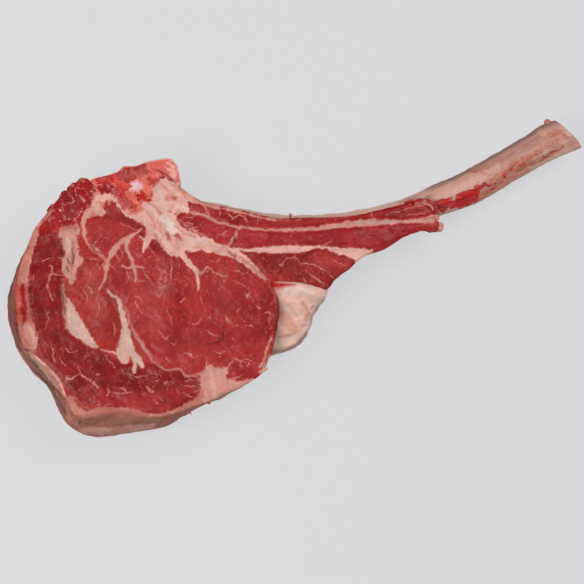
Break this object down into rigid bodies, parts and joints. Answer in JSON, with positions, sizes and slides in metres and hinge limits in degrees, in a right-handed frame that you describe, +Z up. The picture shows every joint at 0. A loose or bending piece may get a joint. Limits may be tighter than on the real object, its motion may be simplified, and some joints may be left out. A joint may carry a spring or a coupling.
{
  "type": "raw tomahawk steak",
  "caption": "Thick raw beef rib steak lying flat, with marbled lean, an outer fat edge and a long bare rib bone with a sawn end.",
  "frame": {"origin": "on the surface that the steak lies on, under the middle of its bounding box", "axes": "+X along the length of the steak, towards the sawn end of the bare bone; +Z up, out of the shown cut face; +Y towards the backbone side of the slice"},
  "size_m": [0.4328, 0.2455, 0.0468],
  "materials": {
    "lean": "moist raw lean meat with marbling",
    "fat": "moist pale pink fat",
    "bone": "scraped bone with traces of meat",
    "marrow": "wet red sawn bone and gristle"
  },
  "bodies": {
    "root": {"meat": "lean", "fat_cap": "fat", "fat_tail": "fat", "rib_bone": "bone", "chine_bone": "marrow"}
  },
  "joints": []
}
